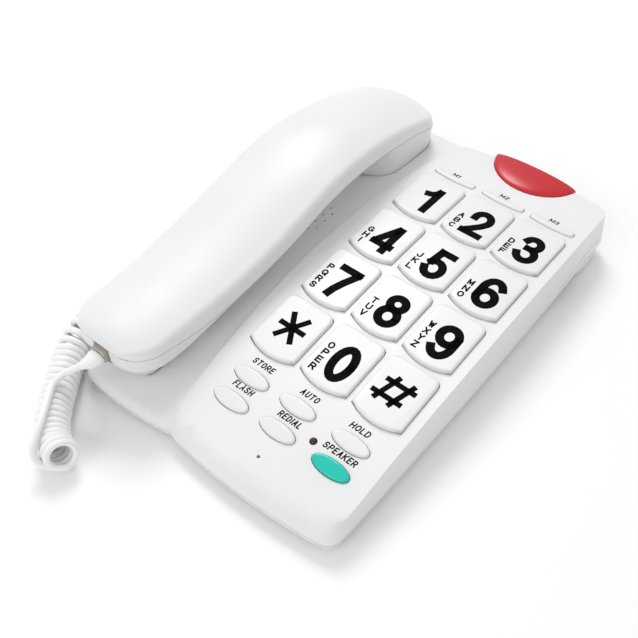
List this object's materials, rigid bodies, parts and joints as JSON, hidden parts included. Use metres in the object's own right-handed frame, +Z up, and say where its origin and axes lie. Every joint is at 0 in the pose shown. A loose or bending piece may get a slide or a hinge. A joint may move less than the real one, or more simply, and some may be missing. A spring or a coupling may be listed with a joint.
{
  "type": "corded landline phone",
  "caption": "Corded desk telephone with large square keys, a lift-off handset on a coiled cord, a ring lens, a speakerphone button and a stepped desk stand.",
  "frame": {"origin": "on the desk under the middle of the telephone's box without its cord", "axes": "+X to the user's right, +Y away from the user along the handset's length, +Z up"},
  "size_m": [0.1711, 0.2732, 0.0608],
  "materials": {
    "casing": "white satin moulded ABS",
    "key_caps": "white satin moulded plastic with black printed figures",
    "teal_button": "teal satin moulded plastic",
    "red_lens": "translucent red moulded plastic",
    "rubber_feet": "dark grey rubber",
    "membrane": "grey silicone rubber",
    "circuit_board": "green glass-fibre board",
    "black_parts": "black moulded plastic",
    "metal": "zinc-plated steel",
    "clear_plug": "clear moulded plastic with a warm tint",
    "cord": "white flexible PVC jacket"
  },
  "bodies": {
    "base": {"base_housing": "casing", "base_bottom_cover": "casing", "desk_stand": "casing", "ring_lens": "red_lens", "ring_lamp": "red_lens", "speaker_led": "red_lens", "keypad_membrane": "membrane", "main_circuit_board": "circuit_board", "loudspeaker": "black_parts", "base_microphone": "metal", "hook_switch": "black_parts", "line_jack": "black_parts", "cord_jack": "black_parts", "foot_front_left": "rubber_feet", "foot_front_right": "rubber_feet", "foot_rear_left": "rubber_feet", "foot_rear_right": "rubber_feet", "base_screw_front_left": "metal", "base_screw_front_right": "metal", "base_screw_rear_left": "metal", "base_screw_rear_right": "metal", "cord_base_plug": "clear_plug", "cord_base_lead": "cord", "cord_coil": "cord", "cord_handset_lead": "cord"},
    "handset": {"handset_outer_shell": "casing", "handset_inner_shell": "casing", "handset_jack": "black_parts", "earpiece_receiver": "black_parts", "handset_microphone": "metal", "handset_weight": "metal", "handset_screw_1": "metal", "handset_screw_2": "metal", "cord_handset_plug": "clear_plug"},
    "hook_plunger": {"hook_plunger": "key_caps"},
    "key_1": {"key_1": "key_caps"},
    "key_2": {"key_2": "key_caps"},
    "key_3": {"key_3": "key_caps"},
    "key_4": {"key_4": "key_caps"},
    "key_5": {"key_5": "key_caps"},
    "key_6": {"key_6": "key_caps"},
    "key_7": {"key_7": "key_caps"},
    "key_8": {"key_8": "key_caps"},
    "key_9": {"key_9": "key_caps"},
    "key_star": {"key_star": "key_caps"},
    "key_0": {"key_0": "key_caps"},
    "key_hash": {"key_hash": "key_caps"},
    "button_store": {"button_store": "key_caps"},
    "button_auto": {"button_auto": "key_caps"},
    "button_hold": {"button_hold": "key_caps"},
    "button_flash": {"button_flash": "key_caps"},
    "button_redial": {"button_redial": "key_caps"},
    "button_speakerphone": {"button_speakerphone": "teal_button"},
    "memory_key_1": {"memory_key_1": "key_caps"},
    "memory_key_2": {"memory_key_2": "key_caps"},
    "memory_key_3": {"memory_key_3": "key_caps"}
  },
  "joints": [
    {"name": "handset_lift", "type": "slide", "parent": "base", "child": "handset", "axis": [0, 0, 1], "range_m": [0, 0.06]},
    {"name": "hook_plunger_rise", "type": "slide", "parent": "base", "child": "hook_plunger", "axis": [0, 0, 1], "range_m": [0, 0.004]},
    {"name": "key_1_press", "type": "slide", "parent": "base", "child": "key_1", "axis": [0, -0.0317, -0.9995], "range_m": [0, 0.0015], "stiffness_N_per_m": 400},
    {"name": "key_2_press", "type": "slide", "parent": "base", "child": "key_2", "axis": [0, -0.0317, -0.9995], "range_m": [0, 0.0015], "stiffness_N_per_m": 400},
    {"name": "key_3_press", "type": "slide", "parent": "base", "child": "key_3", "axis": [0, -0.0317, -0.9995], "range_m": [0, 0.0015], "stiffness_N_per_m": 400},
    {"name": "key_4_press", "type": "slide", "parent": "base", "child": "key_4", "axis": [0, 0.0134, -0.9999], "range_m": [0, 0.0015], "stiffness_N_per_m": 400},
    {"name": "key_5_press", "type": "slide", "parent": "base", "child": "key_5", "axis": [0, 0.0134, -0.9999], "range_m": [0, 0.0015], "stiffness_N_per_m": 400},
    {"name": "key_6_press", "type": "slide", "parent": "base", "child": "key_6", "axis": [0, 0.0134, -0.9999], "range_m": [0, 0.0015], "stiffness_N_per_m": 400},
    {"name": "key_7_press", "type": "slide", "parent": "base", "child": "key_7", "axis": [0, 0.0585, -0.9983], "range_m": [0, 0.0015], "stiffness_N_per_m": 400},
    {"name": "key_8_press", "type": "slide", "parent": "base", "child": "key_8", "axis": [0, 0.0585, -0.9983], "range_m": [0, 0.0015], "stiffness_N_per_m": 400},
    {"name": "key_9_press", "type": "slide", "parent": "base", "child": "key_9", "axis": [0, 0.0585, -0.9983], "range_m": [0, 0.0015], "stiffness_N_per_m": 400},
    {"name": "key_star_press", "type": "slide", "parent": "base", "child": "key_star", "axis": [0, 0.1036, -0.9946], "range_m": [0, 0.0015], "stiffness_N_per_m": 400},
    {"name": "key_0_press", "type": "slide", "parent": "base", "child": "key_0", "axis": [0, 0.1036, -0.9946], "range_m": [0, 0.0015], "stiffness_N_per_m": 400},
    {"name": "key_hash_press", "type": "slide", "parent": "base", "child": "key_hash", "axis": [0, 0.1036, -0.9946], "range_m": [0, 0.0015], "stiffness_N_per_m": 400},
    {"name": "button_store_press", "type": "slide", "parent": "base", "child": "button_store", "axis": [0, 0.142, -0.9899], "range_m": [0, 0.0012], "stiffness_N_per_m": 400},
    {"name": "button_auto_press", "type": "slide", "parent": "base", "child": "button_auto", "axis": [0, 0.142, -0.9899], "range_m": [0, 0.0012], "stiffness_N_per_m": 400},
    {"name": "button_hold_press", "type": "slide", "parent": "base", "child": "button_hold", "axis": [0, 0.142, -0.9899], "range_m": [0, 0.0012], "stiffness_N_per_m": 400},
    {"name": "button_flash_press", "type": "slide", "parent": "base", "child": "button_flash", "axis": [0, 0.1587, -0.9873], "range_m": [0, 0.0012], "stiffness_N_per_m": 400},
    {"name": "button_redial_press", "type": "slide", "parent": "base", "child": "button_redial", "axis": [0, 0.1587, -0.9873], "range_m": [0, 0.0012], "stiffness_N_per_m": 400},
    {"name": "button_speakerphone_press", "type": "slide", "parent": "base", "child": "button_speakerphone", "axis": [0, 0.1587, -0.9873], "range_m": [0, 0.0012], "stiffness_N_per_m": 400},
    {"name": "memory_key_1_press", "type": "slide", "parent": "base", "child": "memory_key_1", "axis": [0, -0.0581, -0.9983], "range_m": [0, 0.0009], "stiffness_N_per_m": 400},
    {"name": "memory_key_2_press", "type": "slide", "parent": "base", "child": "memory_key_2", "axis": [0, -0.0581, -0.9983], "range_m": [0, 0.0009], "stiffness_N_per_m": 400},
    {"name": "memory_key_3_press", "type": "slide", "parent": "base", "child": "memory_key_3", "axis": [0, -0.0581, -0.9983], "range_m": [0, 0.0009], "stiffness_N_per_m": 400}
  ],
  "couplings": [
    {"joint": "hook_plunger_rise", "follows": "handset_lift", "ratio": 0.0666}
  ]
}
